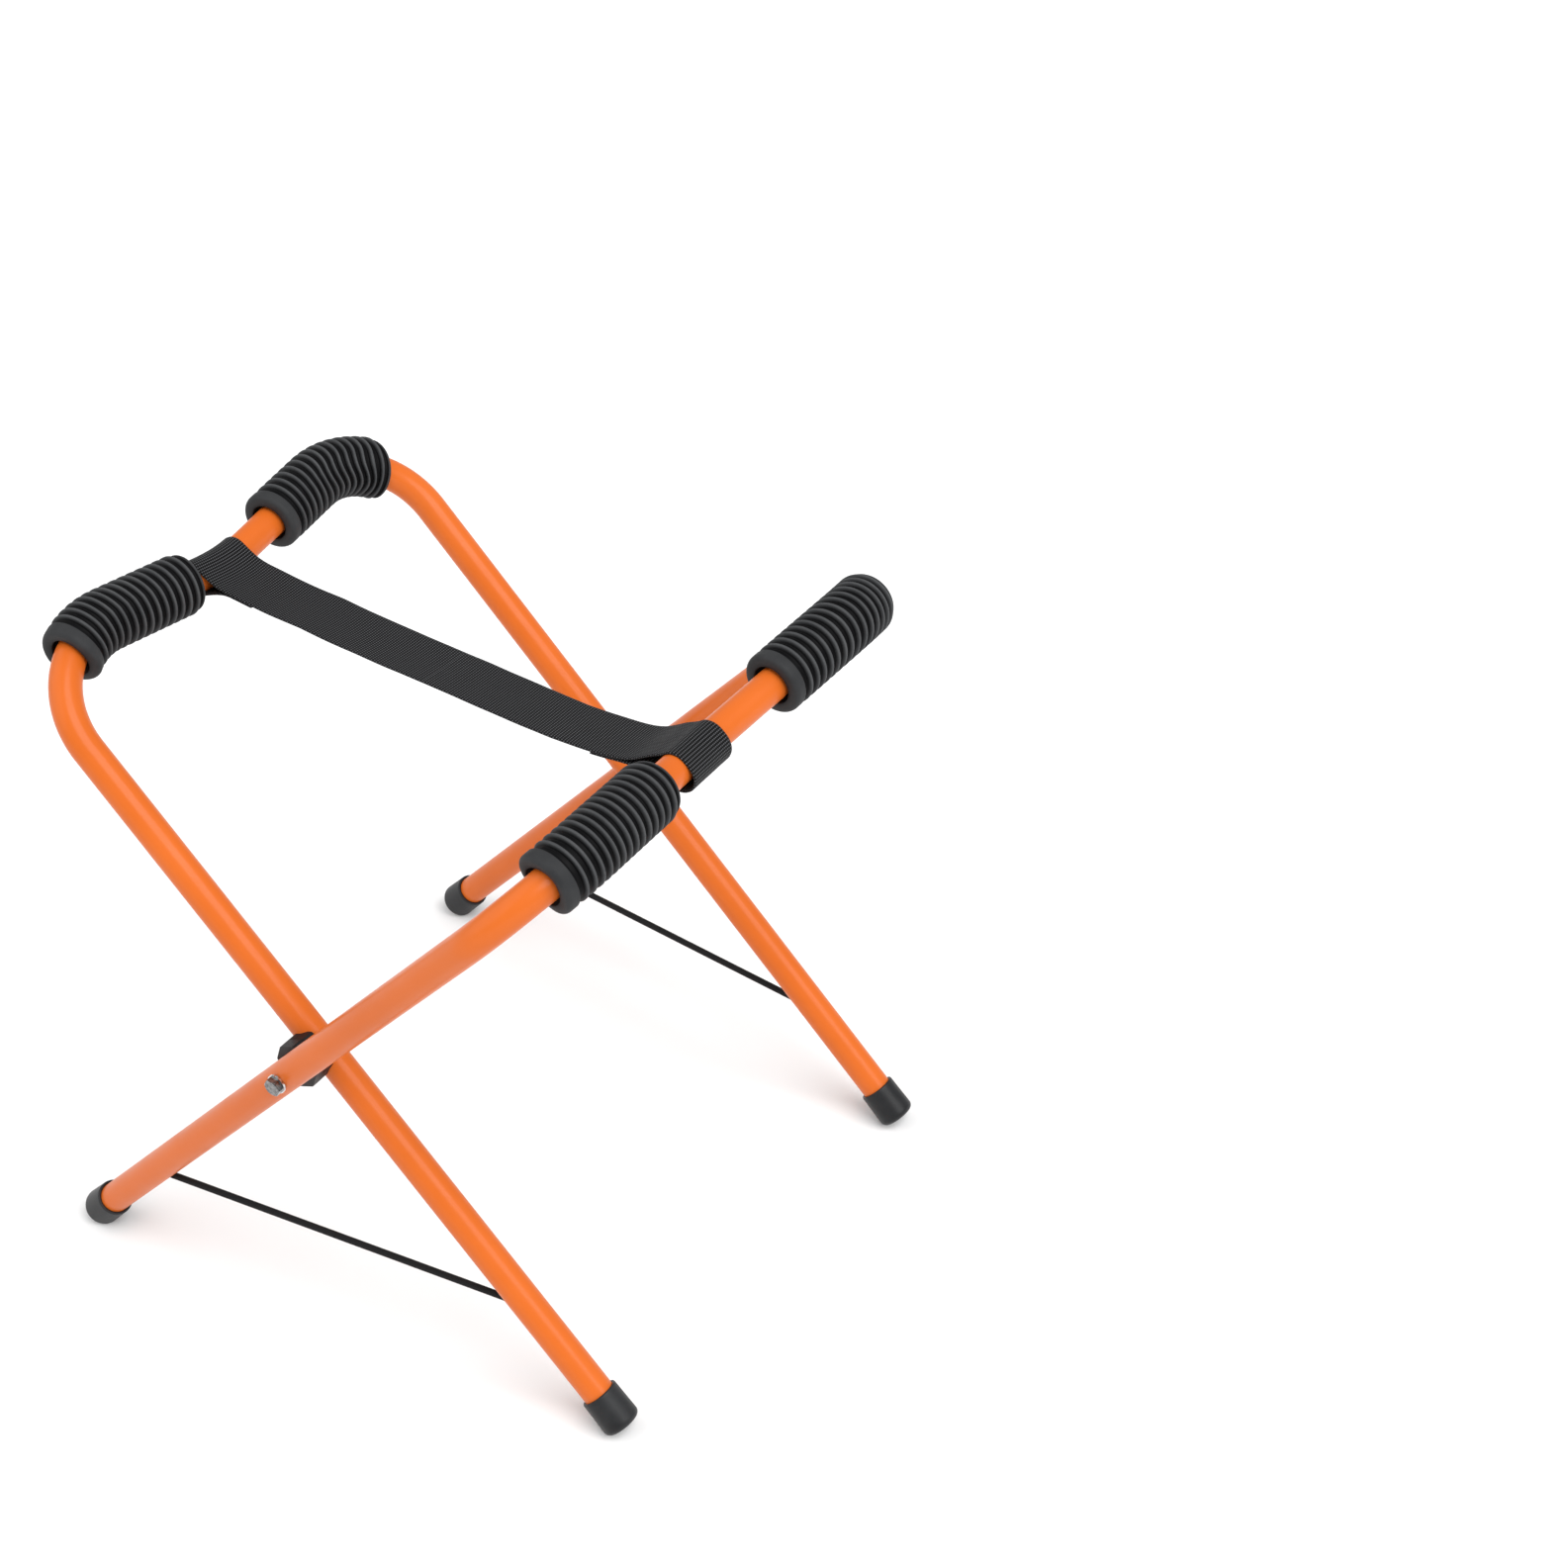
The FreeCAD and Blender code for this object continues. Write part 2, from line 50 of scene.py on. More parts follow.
# the bent frames
HALF_ANGLE = math.radians(43.65)
PIVOT_HEIGHT = 279.0
OUTER_WIDTH = 481.0
INNER_WIDTH = 405.0
TUBE_RADIUS = 12.7
TUBE_WALL = 1.5
BAR_TOP = 354.2
BAR_DIP = 27.0
CORNER_RADIUS = 74.0
DIP_RADIUS = 150.0
LEG_DROP = 369.8

# the hand grips: a plain collar, then the ribs, then a ring
GRIP_LENGTH = 130.0
GRIP_RADIUS = 25.3
GRIP_BORE = 12.9
COLLAR_LENGTH = 11.0
COLLAR_EDGE = 21.0
COLLAR_RISE = 3.8
COLLAR_FALL = 3.7
COLLAR_ROUNDING = 4.5
# the collar's colour, between the painted groove shade at 0 and the rubbed, painted-sheen rib tops at 1
COLLAR_LIGHTNESS = 0.62
GROOVE_RADIUS = 21.1
RIB_HEIGHT = 3.9
RIB_COUNT = 14
RIB_STEP = 0.05
END_RING_LENGTH = 4.0
END_RING_EDGE = 18.0
END_RING_ROUNDING = 3.6
# how much of a bend's stretch the rubber takes on the bend's outside and on its inside
OUTSIDE_SHARE = 0.8
INSIDE_SHARE = 0.35
# how much less than the tube the rings turn, in a bend
RING_TILT = 0.11

# the foot caps
CAP_LENGTH = 32.0
CAP_FLOOR = 5.0
CAP_BORE = 12.75
CAP_ROUNDING = 5.0
CAP_LOW_RADIUS = 15.72

# the strap
STRAP_WIDTH = 51.0
STRAP_PLY = 1.8
STRAP_GAP = 0.3
STRAP_SAG = 1.0
PLY_GAP = 0.15
STRAP_STEP = 1.5
SELVEDGE_WIDTH = 1.3
SELVEDGE_SHARE = 0.45
WRAP_RADIUS = TUBE_RADIUS + STRAP_GAP + STRAP_PLY / 2
STRAP_LEAVES_BAR = 12.0

# the limit cords
CORD_RADIUS = 2.8
CORD_HEIGHT = 93.0
CORD_START = 14.2


# ---------------------------------------------------------------- geometry of the bent frames
class BentFrame:
    """One bent tube frame. Distances along it run from the crossbar's middle, positive to the rear."""

    def __init__(self, body, width, lean):
        self.body = body
        self.half = width / 2
        self.lean = lean
        self.slope = math.atan2(BAR_DIP, self.half)
        rise = CORNER_RADIUS * (math.tan(self.slope) + 1 / math.cos(self.slope) - 1)
        self.corner = BAR_TOP + rise
        self.vertex = self.corner - BAR_DIP
        self.low_bar = self.vertex + DIP_RADIUS * (1 / math.cos(self.slope) - 1)
        self.turn = math.pi / 2 + self.slope
        self.dip_end = DIP_RADIUS * self.slope
        reach = self.half / math.cos(self.slope) - CORNER_RADIUS * math.tan(self.turn / 2)
        self.bend_start = self.dip_end + reach - DIP_RADIUS * math.tan(self.slope)
        self.bend_end = self.bend_start + CORNER_RADIUS * self.turn
        leg_top = self.local(self.bend_end)[1]
        self.leg_end = self.bend_end + leg_top + LEG_DROP
        self.up_leg = Vector((lean * math.sin(HALF_ANGLE), 0, math.cos(HALF_ANGLE)))
        self.normal = ACROSS.cross(self.up_leg)

    def local(self, s):
        """(across, up the legs, direction's angle) at a distance along the centreline."""
        side, d = (1, s) if s >= 0 else (-1, -s)
        if d <= self.dip_end:
            angle = d / DIP_RADIUS
            y = DIP_RADIUS * math.sin(angle)
            z = self.low_bar + DIP_RADIUS * (1 - math.cos(angle))
        elif d <= self.bend_start:
            angle = self.slope
            along = d - self.dip_end + DIP_RADIUS * math.tan(self.slope)
            y = along * math.cos(angle)
            z = self.vertex + along * math.sin(angle)
        else:
            angle = self.slope - (min(d, self.bend_end) - self.bend_start) / CORNER_RADIUS
            along = self.bend_start - self.dip_end + DIP_RADIUS * math.tan(self.slope)
            y = along * math.cos(self.slope) + CORNER_RADIUS * (math.sin(self.slope) - math.sin(angle))
            z = self.vertex + along * math.sin(self.slope)
            z += CORNER_RADIUS * (math.cos(angle) - math.cos(self.slope))
            if d > self.bend_end:
                z -= d - self.bend_end
        return side * y, z, side * angle

    def world(self, y, z):
        return Vector((0, y, PIVOT_HEIGHT)) + self.up_leg * z

    def section(self, s):
        """Centre, forward direction and in-plane outward direction of the tube's section there."""
        y, z, angle = self.local(s)
        forward = ACROSS * math.cos(angle) + self.up_leg * math.sin(angle)
        outward = self.up_leg * math.cos(angle) - ACROSS * math.sin(angle)
        return self.world(y, z), forward, outward

    def around(self, s, phi, radius):
        centre, _, outward = self.section(s)
        return centre + (outward * math.cos(phi) + self.normal * math.sin(phi)) * radius

    def bar_height(self, y):
        reach = DIP_RADIUS * math.sin(self.slope)
        if abs(y) >= reach:
            return self.vertex + abs(y) * math.tan(self.slope)
        return self.low_bar + DIP_RADIUS - math.sqrt(DIP_RADIUS ** 2 - y * y)


OUTER = BentFrame("outer_frame", OUTER_WIDTH, 1)
INNER = BentFrame("inner_frame", INNER_WIDTH, -1)


# ---------------------------------------------------------------- mesh helpers
def smoothstep(low, high, x):
    t = min(1.0, max(0.0, (x - low) / (high - low)))
    return t * t * (3 - 2 * t)


def stops(low, high, step):
    """Even steps from low to high, both included."""
    count = max(1, round(abs(high - low) / step))
    return [low + (high - low) * k / count for k in range(count + 1)]


def link(name, data):
    """An object in the scene, for a mesh, light or camera."""
    obj = bpy.data.objects.new(name, data)
    bpy.context.scene.collection.objects.link(obj)
    return obj


def piece(name, parts, materials):
    """A mesh object from parts of (points in mm, faces, uv per point or None, material index)."""
    points, faces, slots, uvs = [], [], [], []
    for part_points, part_faces, part_uvs, index in parts:
        start = len(points)
        points += [p * MM for p in part_points]
        uvs += part_uvs or [(0.0, 0.0)] * len(part_points)
        for face in part_faces:
            faces.append([start + k for k in face])
            slots.append(index)
    mesh = bpy.data.meshes.new(name)
    mesh.from_pydata(points, [], faces)
    mesh.polygons.foreach_set("material_index", slots)
    mesh.polygons.foreach_set("use_smooth", [True] * len(faces))
    layer = mesh.uv_layers.new(name="UVMap")
    for loop in mesh.loops:
        layer.data[loop.index].uv = uvs[loop.vertex_index]
    for material in materials:
        mesh.materials.append(material)
    mesh.validate()
    return link(name, mesh)


def circle(count):
    """The angles of a ring's points. The last repeats the first, so that its uv has no seam to cross."""
    return [2 * math.pi * k / count for k in range(count + 1)]


def grid(rows, uvs=None, index=0, flip=False):
    """A part from rows of points."""
    width = len(rows[0])
    points = [p for row in rows for p in row]
    flat = [uv for row in uvs for uv in row] if uvs else None
    faces = []
    for r in range(len(rows) - 1):
        for c in range(width - 1):
            here = r * width + c
            face = [here, here + 1, here + width + 1, here + width]
            faces.append(face[::-1] if flip else face)
    return points, faces, flat, index


def weld(obj):
    """Join the doubled points of the seams, keeping the uv of each face."""
    modifier = obj.modifiers.new("weld", "WELD")
    modifier.merge_threshold = 1e-6
    bpy.context.view_layer.update()
    depsgraph = bpy.context.evaluated_depsgraph_get()
    mesh = bpy.data.meshes.new_from_object(obj.evaluated_get(depsgraph))
    obj.modifiers.clear()
    obj.data = mesh
    return obj


# ---------------------------------------------------------------- materials
class Nodes:
    """A short way to write a material's nodes."""

    def __init__(self, name):
        self.material = bpy.data.materials.new(name)
        self.material.use_nodes = True
        self.tree = self.material.node_tree
        self.shader = self.tree.nodes["Principled BSDF"]

    def node(self, kind, **settings):
        made = self.tree.nodes.new(kind)
        for key, value in settings.items():
            setattr(made, key, value)
        return made

    def link(self, source, target):
        self.tree.links.new(source, target)

    def constants(self, **values):
        for key, value in values.items():
            self.shader.inputs[key.replace("_", " ")].default_value = value

    def math(self, operation, first, second=None):
        made = self.node("ShaderNodeMath", operation=operation)
        for socket, value in zip(made.inputs, (first, second)):
            if value is None:
                continue
            if isinstance(value, (int, float)):
                socket.default_value = value
            else:
                self.link(value, socket)
        return made.outputs[0]

    def place(self, which="Object"):
        return self.node("ShaderNodeTexCoord").outputs[which]

    def noise(self, scale, detail=3.0, roughness=0.5, place=None):
        made = self.node("ShaderNodeTexNoise")
        made.inputs["Scale"].default_value = scale
        made.inputs["Detail"].default_value = detail
        made.inputs["Roughness"].default_value = roughness
        self.link(place or self.place(), made.inputs["Vector"])
        return made.outputs["Fac"]

    def ramp(self, source, *stops_list):
        made = self.node("ShaderNodeValToRGB")
        elements = made.color_ramp.elements
        while len(elements) < len(stops_list):
            elements.new(0.5)
        for element, (position, colour) in zip(elements, stops_list):
            element.position = position
            element.color = (*colour, 1) if len(colour) == 3 else colour
        self.link(source, made.inputs["Fac"])
        return made.outputs["Color"]

    def range(self, source, low, high, to_low, to_high):
        made = self.node("ShaderNodeMapRange")
        keys = ("From Min", "From Max", "To Min", "To Max")
        for key, value in zip(keys, (low, high, to_low, to_high)):
            made.inputs[key].default_value = value
        self.link(source, made.inputs["Value"])
        return made.outputs["Result"]

    def mix(self, factor, first, second):
        made = self.node("ShaderNodeMix", data_type="RGBA")
        sockets = (made.inputs[0], made.inputs[6], made.inputs[7])
        for socket, value in zip(sockets, (factor, first, second)):
            if isinstance(value, (int, float)):
                socket.default_value = value
            elif isinstance(value, tuple):
                socket.default_value = (*value, 1)
            else:
                self.link(value, socket)
        return made.outputs[2]

    def bump(self, height, strength, distance):
        made = self.node("ShaderNodeBump")
        made.inputs["Strength"].default_value = strength
        made.inputs["Distance"].default_value = distance
        self.link(height, made.inputs["Height"])
        return made.outputs["Normal"]

    def finish(self, colour=None, roughness=None, normal=None):
        for key, source in (("Base Color", colour), ("Roughness", roughness), ("Normal", normal)):
            if source is not None:
                self.link(source, self.shader.inputs[key])
        return self.material


def paint():
    """Enamel, with a slight orange-peel surface."""
    n = Nodes("orange_enamel")
    n.constants(Coat_Weight=0.12, Coat_Roughness=0.12, Specular_IOR_Level=0.16)
    cloud = n.noise(9.0, 4.0)
    colour = n.ramp(cloud, (0.3, (0.615, 0.124, 0.013)), (0.7, (0.665, 0.140, 0.018)))
    rough = n.range(n.noise(35.0, 5.0), 0.3, 0.7, 0.30, 0.40)
    peel = n.bump(n.noise(420.0, 1.0, 0.3), 0.05, 0.0005)
    return n.finish(colour, rough, peel)


def rubber(name, base, dusty, rough_low, rough_high, grain):
    """Moulded rubber, clouded and speckled with dust."""
    n = Nodes(name)
    n.constants(Specular_IOR_Level=0.25)
    cloud = n.noise(28.0, 5.0, 0.6)
    fine = n.noise(1400.0, 3.0, 0.6)
    colour = n.mix(n.range(cloud, 0.35, 0.75, 0.0, 1.0), base, dusty)
    colour = n.mix(n.range(fine, 0.58, 0.75, 0.0, 0.35), colour, dusty)
    rough = n.range(cloud, 0.3, 0.7, rough_low, rough_high)
    return n.finish(colour, rough, n.bump(fine, 0.35, grain))


def grip_rubber():
    """Ribbed rubber: the tops of the ribs are painted lighter, as rubbed wear and painted sheen, and the
    grooves near-black, as painted shade.
    """
    n = Nodes("ribbed_rubber")
    n.constants(Specular_IOR_Level=0.12)
    rib = n.node("ShaderNodeAttribute", attribute_name="rib").outputs["Fac"]
    cloud = n.noise(40.0, 5.0, 0.6)
    fine = n.noise(1500.0, 3.0, 0.6)
    # the rib tops' colour: lighter from rubbed wear and from painted sheen
    worn = n.mix(n.range(cloud, 0.35, 0.7, 0.0, 1.0), (0.050, 0.052, 0.055), (0.072, 0.074, 0.077))
    worn = n.mix(n.range(fine, 0.55, 0.75, 0.0, 0.35), worn, (0.095, 0.097, 0.10))
    # painted shade: near-black where the rib mask is low (grooves, the collar's foot, the bore and ends)
    colour = n.mix(n.range(rib, 0.25, 1.0, 0.0, 1.0), (0.002, 0.002, 0.0025), worn)
    rough = n.range(cloud, 0.3, 0.7, 0.5, 0.64)
    return n.finish(colour, rough, n.bump(fine, 0.3, 0.0003))


def webbing():
    """Webbing: crosswise rows of short threads, each row half a thread off the last."""
    row_pitch, thread_pitch = 0.0024, 0.0019
    n = Nodes("woven_webbing")
    n.constants(Specular_IOR_Level=0.12, Sheen_Weight=0.02, Sheen_Roughness=0.5)
    split = n.node("ShaderNodeSeparateXYZ")
    n.link(n.place("UV"), split.inputs[0])
    rows = n.math("MULTIPLY", split.outputs["Y"], 1 / row_pitch)
    offset = n.math("MULTIPLY", n.math("PINGPONG", n.math("FLOOR", rows), 1.0), 0.5)
    threads = n.math("ADD", n.math("MULTIPLY", split.outputs["X"], 1 / thread_pitch), offset)
    crowns = []
    for coordinate in (rows, threads):
        middle = n.math("SUBTRACT", n.math("FRACT", coordinate), 0.5)
        crowns.append(n.math("COSINE", n.math("MULTIPLY", middle, math.pi * 0.96)))
    fibre = n.noise(2600.0, 2.0)
    weave = n.math("MULTIPLY", crowns[0], n.math("ADD", n.math("MULTIPLY", crowns[1], 0.6), 0.4))
    height = n.math("ADD", weave, n.math("MULTIPLY", fibre, 0.2))
    # painted sheen and shade: the threads' crowns are painted light and the gaps between threads
    # near-black
    colour = n.ramp(
        weave,
        (0.40, (0.0008, 0.0008, 0.001)),
        (0.7, (0.0085, 0.0087, 0.0095)),
        (1.0, (0.13, 0.133, 0.14)),
    )
    colour = n.mix(n.range(n.noise(60.0, 4.0), 0.4, 0.75, 0.0, 0.08), colour, (0.024, 0.025, 0.027))
    rough = n.range(fibre, 0.3, 0.7, 0.6, 0.8)
    return n.finish(colour, rough, n.bump(height, 0.5, 0.0005))


def thread():
    """Twisted sewing thread."""
    n = Nodes("stitching_thread")
    n.constants(Specular_IOR_Level=0.25)
    twist = n.noise(3000.0, 2.0)
    colour = n.ramp(twist, (0.35, (0.020, 0.020, 0.022)), (0.7, (0.075, 0.076, 0.080)))
    return n.finish(colour, n.range(twist, 0.3, 0.7, 0.5, 0.7), n.bump(twist, 0.5, 0.0002))


def braid():
    """Braided cord: two crossing spirals of strands."""
    strands_round, strand_pitch = 10, 0.0022
    n = Nodes("braided_cord")
    n.constants(Specular_IOR_Level=0.15)
    split = n.node("ShaderNodeSeparateXYZ")
    n.link(n.place("UV"), split.inputs[0])
    around = n.math("MULTIPLY", split.outputs["X"], strands_round / (2 * math.pi * CORD_RADIUS * MM))
    along = n.math("MULTIPLY", split.outputs["Y"], 1 / strand_pitch)
    left = n.math("SINE", n.math("MULTIPLY", n.math("ADD", around, along), math.pi))
    right = n.math("SINE", n.math("MULTIPLY", n.math("SUBTRACT", around, along), math.pi))
    strands = n.math("MAXIMUM", n.math("ABSOLUTE", left), n.math("ABSOLUTE", right))
    # painted shade: near-black in the gaps between the strands, lighter on their crowns
    colour = n.ramp(strands, (0.6, (0.002, 0.002, 0.002)), (1.0, (0.016, 0.016, 0.017)))
    rough = n.range(n.noise(900.0), 0.3, 0.7, 0.6, 0.8)
    return n.finish(colour, rough, n.bump(strands, 0.8, 0.0004))


def zinc(name, dark, light):
    """Zinc plate with a mottled grain."""
    n = Nodes(name)
    n.constants(Metallic=1.0)
    cloud = n.noise(420.0, 5.0, 0.65)
    fine = n.noise(2200.0, 2.0)
    colour = n.ramp(cloud, (0.38, (dark, dark, dark * 1.04)), (0.62, (light, light, light * 0.98)))
    rough = n.range(cloud, 0.3, 0.7, 0.12, 0.24)
    return n.finish(colour, rough, n.bump(fine, 0.15, 0.0002))


def moulded(name, dark, light, rough):
    """Moulded plastic with a fine grain."""
    n = Nodes(name)
    n.constants(Specular_IOR_Level=0.25)
    cloud = n.noise(60.0, 4.0)
    grain = n.noise(1100.0, 2.0)
    colour = n.mix(n.range(cloud, 0.3, 0.7, 0.0, 1.0), dark, light)
    rough = n.range(grain, 0.3, 0.7, rough - 0.06, rough + 0.08)
    return n.finish(colour, rough, n.bump(grain, 0.25, 0.0004))


ENAMEL = paint()
GRIP = grip_rubber()
CAP = rubber("foot_rubber", (0.010, 0.0105, 0.0115), (0.024, 0.025, 0.027), 0.36, 0.5, 0.0002)
WEBBING = webbing()
THREAD = thread()
BRAID = braid()
# painted shade: the bolt's and nuts' zinc is darkened, standing in for dark reflections; the washers keep
# a lighter zinc
ZINC = zinc("zinc_plate", 0.11, 0.30)
ZINC_WASHER = zinc("bright_zinc_plate", 0.50, 0.72)
SADDLE = moulded("saddle_plastic", (0.006, 0.0065, 0.007), (0.012, 0.0125, 0.014), 0.42)
NYLON = moulded("nylon_insert", (0.55, 0.60, 0.68), (0.70, 0.74, 0.80), 0.35)


# ---------------------------------------------------------------- bent tubes
def bent_tube(which, node):
    """The tube's outside and its open lower ends, with the wall's thickness showing."""
    straight, bend, leg = 6.0, 2.0, 8.0
    spans = [
        (which.dip_end, which.bend_start, straight),
        (which.bend_start, which.bend_end, bend),
        (which.bend_end, which.leg_end, leg),
    ]
    marks = [-which.leg_end]
    for low, high, step in reversed(spans):
        marks += stops(-high, -low, step)[1:]
    marks += stops(-which.dip_end, which.dip_end, bend)[1:]
    for low, high, step in spans:
        marks += stops(low, high, step)[1:]
    inside, depth = TUBE_RADIUS - TUBE_WALL, 12
    path = [(marks[0] + depth, inside), (marks[0], inside)]
    path += [(mark, TUBE_RADIUS) for mark in marks]
    path += [(marks[-1], inside), (marks[-1] - depth, inside)]
    turns = circle(72)
    rows = [[which.around(s, phi, radius) for phi in turns] for s, radius in path]
    uvs = [[(phi * TUBE_RADIUS * MM, s * MM) for phi in turns] for s, _ in path]
    obj = weld(piece(node + "_enamel", [grid(rows, uvs, flip=True)], [ENAMEL]))
    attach(obj, which.body)
    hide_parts(node)


# ---------------------------------------------------------------- hand grips
def grip_radius(t):
    """(radius, how light its colour is: rubbed and painted sheen on the rib's top, painted shade in the
    groove) at a place t along the ribbed part, counted in ribs' spacings.
    """
    offset = abs((t + 0.5) % 1.0 - 0.5)
    rib = 1 - smoothstep(0.10, 0.25, offset)
    return GROOVE_RADIUS + RIB_HEIGHT * rib, rib


def collar_radius(u):
    """(radius, how light its colour is) of the plain collar at a distance from the sleeve's end. It goes
    dark, as painted shade, where the collar falls to the first groove.
    """
    lift = math.sqrt(max(0.0, 1 - (1 - min(u, COLLAR_ROUNDING) / COLLAR_ROUNDING) ** 2))
    fall = smoothstep(COLLAR_LENGTH - 1.2, COLLAR_LENGTH, u)
    return COLLAR_EDGE + COLLAR_RISE * lift - COLLAR_FALL * fall, COLLAR_LIGHTNESS * (1 - fall)


def grip(which, side, start, node, wavy=0.0):
    """A ribbed rubber sleeve. Its plain collar faces the front on every crossbar.

    side is -1 in front and 1 behind, start its nearest place to the crossbar's middle. Its ribs ripple
    round the angle wavy, if that isn't 0.
    """
    turns = circle(112)
    first = start if side > 0 else -start - GRIP_LENGTH
    bend = which.bend_start - start if side > 0 else GRIP_LENGTH - (which.bend_start - start)
    ring_start = GRIP_LENGTH - END_RING_LENGTH
    rows, uvs, ribs = [], [], []

    def stretched(u, phi):
        """The rubber's own length up to a place along the sleeve.

        The outside of a bend hardly stretches, so the ribs crowd on its inside.
        """
        share = OUTSIDE_SHARE if math.cos(phi) > 0 else INSIDE_SHARE
        ease = math.cos(phi) * GRIP_RADIUS / CORNER_RADIUS * share
        inside_bend = max(0.0, u - bend) if side > 0 else min(u, bend)
        return u + ease * inside_bend

    def along(t, phi):
        """Where a place t, counted in ribs' spacings, falls along the sleeve at one place round it."""
        ribs_from = stretched(COLLAR_LENGTH - 1.5, phi)
        whole = stretched(ring_start + 2, phi) - ribs_from
        target = ribs_from + whole * t / (RIB_COUNT + 1)
        low, high = COLLAR_LENGTH, ring_start
        for _ in range(18):
            middle = (low + high) / 2
            low, high = (middle, high) if stretched(middle, phi) < target else (low, middle)
        return low

    def tilted(u, phi):
        """The rings turn a little less than the tube does round its bend."""
        into_bend = max(0.0, u - bend) if side > 0 else min(0.0, u - bend)
        return -RING_TILT * into_bend * math.cos(phi)

    def waved(u, phi):
        """How far the ripple shifts a rib."""
        if not wavy:
            return 0.0
        bell = smoothstep(40, 70, u) * (1 - smoothstep(104, 122, u))
        crest, trough = (math.exp(-((phi - wavy + shift) / 0.42) ** 2) for shift in (-0.25, 0.55))
        return 3.0 * bell * (crest - trough)

    def add_row(places, shifts, radius, rib):
        rows.append([
            which.around(first + u + tilted(u, phi) + shift, phi, radius)
            for u, phi, shift in zip(places, turns, shifts)
        ])
        uvs.append([(phi * GRIP_RADIUS * MM, u * MM) for u, phi in zip(places, turns)])
        ribs.extend([rib] * len(turns))

    def ring(u, radius, rib):
        add_row([u] * len(turns), [0.0] * len(turns), radius, rib)

    def ribbed_ring(t):
        places = [along(t, phi) for phi in turns]
        add_row(places, [waved(u, phi) for u, phi in zip(places, turns)], *grip_radius(t))

    # the mouth, open round the tube, and its rounded lip: (place, radius, how light its colour is, with 0
    # the painted shade of the grooves)
    for u, radius, rib in ((9.0, GRIP_BORE, 0.0), (5.0, 13.4, 0.0), (3.5, 15.4, 0.0), (1.0, 15.6, 0.2)):
        ring(u, radius, rib)
    for k in range(7):
        angle = math.pi / 2 * k / 6
        ring(1.0 - math.sin(angle), 15.6 + (1 - math.cos(angle)), 0.45)
    ring(0.0, 19.0, 0.6)
    for u in stops(0.0, COLLAR_LENGTH, 0.35):
        ring(u, *collar_radius(u))
    for t in stops(0.42, RIB_COUNT + 0.60, RIB_STEP):
        ribbed_ring(t)
    for u in stops(ring_start - 0.4, GRIP_LENGTH, 0.3):
        rise = smoothstep(ring_start - 0.4, ring_start + 0.5, u)
        past = max(0.0, (u - GRIP_LENGTH + END_RING_ROUNDING) / END_RING_ROUNDING)
        ease = math.sqrt(max(0.0, 1 - past ** 2))
        ring(u, END_RING_EDGE + (3.1 + 2.3 * rise) * ease, 0.75 * rise)
    # the far end, closed down to the tube, darkening towards it as painted shade
    ring(GRIP_LENGTH, 15.0, 0.3)
    ring(GRIP_LENGTH - 0.6, 13.3, 0.0)
    ring(GRIP_LENGTH - 5.0, GRIP_BORE, 0.0)
    obj = piece(node + "_ribbed", [grid(rows, uvs, flip=True)], [GRIP])
    attribute = obj.data.attributes.new("rib", "FLOAT", "POINT")
    attribute.data.foreach_set("value", ribs)
    weld(obj)
    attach(obj, which.body)
    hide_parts(node)


# ---------------------------------------------------------------- foot caps
def foot_cap(which, side, node):
    """A moulded rubber cap, slightly wider at its mouth and worn flat where it stands."""
    # (height up the cap, radius): the bore and mouth, the side, the rounded corner, the dimpled end
    profile = [(6.0, 11.0), (CAP_LENGTH - 3.0, CAP_BORE), (CAP_LENGTH - 0.5, CAP_BORE), (CAP_LENGTH, 13.2)]
    profile += [(CAP_LENGTH, 14.3), (CAP_LENGTH - 0.25, 14.85), (CAP_LENGTH - 0.8, 15.1)]
    for up in stops(CAP_LENGTH - 1.5, 6.0, 1.0):
        profile.append((up, 15.15 + 0.65 * (1 - up / CAP_LENGTH)))
    for k in range(1, 13):
        angle = math.pi / 2 * k / 12
        radius = CAP_LOW_RADIUS - CAP_ROUNDING * (1 - math.cos(angle))
        profile.append((CAP_ROUNDING * (1 - math.sin(angle)), radius))
    profile += [(0.0, 8.0), (0.0, 6.2), (0.7, 5.6), (0.7, 2.0), (0.7, 0.001)]
    centre, _, outward = which.section(side * (which.leg_end - 1))
    rows = []
    for up, radius in profile:
        base = centre + which.up_leg * (-1 - CAP_FLOOR + up)
        row = []
        for phi in circle(96):
            point = base + (outward * math.cos(phi) + which.normal * math.sin(phi)) * radius
            point.z = max(point.z, 0.0)
            row.append(point)
        rows.append(row)
    obj = weld(piece(node + "_moulded", [grid(rows, flip=side < 0)], [CAP]))
    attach(obj, which.body)
    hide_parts(node)


# ---------------------------------------------------------------- strap
# Points beside a bar are (inward, up) from the bar's middle, and angles there turn from inward to up.
# shift: how far the strap's middle is from the frame's, along the bar
# fall: where the run leaves the bar, from straight up; low_angle: where the sewn end reaches the bar
# slack, slack_angle: how far the wrap stands off the bar, and where
# seam, end: the span over which the end is sewn under the run
# run: the run's own points, with their slopes
STRAPS = {
    INNER: {
        "shift": -9.0, "fall": 34.0, "low_angle": -72.0, "slack": 0.6, "slack_angle": -160.0,
        "seam": 40.0, "end": 60.0,
        "run": [(25.0, 1.4, -0.36), (48.0, -2.8, -0.14), (75.0, -6.2, -0.10), (110.0, -8.8, -0.06)],
    },
    OUTER: {
        "shift": -24.5, "fall": 36.0, "low_angle": -76.0, "slack": 4.5, "slack_angle": -135.0,
        "seam": 57.0, "end": 75.0,
        "run": [(22.0, 4.2, -0.55), (36.0, -3.4, -0.48), (52.0, -8.2, -0.17), (80.0, -10.6, -0.05),
                (110.0, -11.2, -0.01)],
    },
}


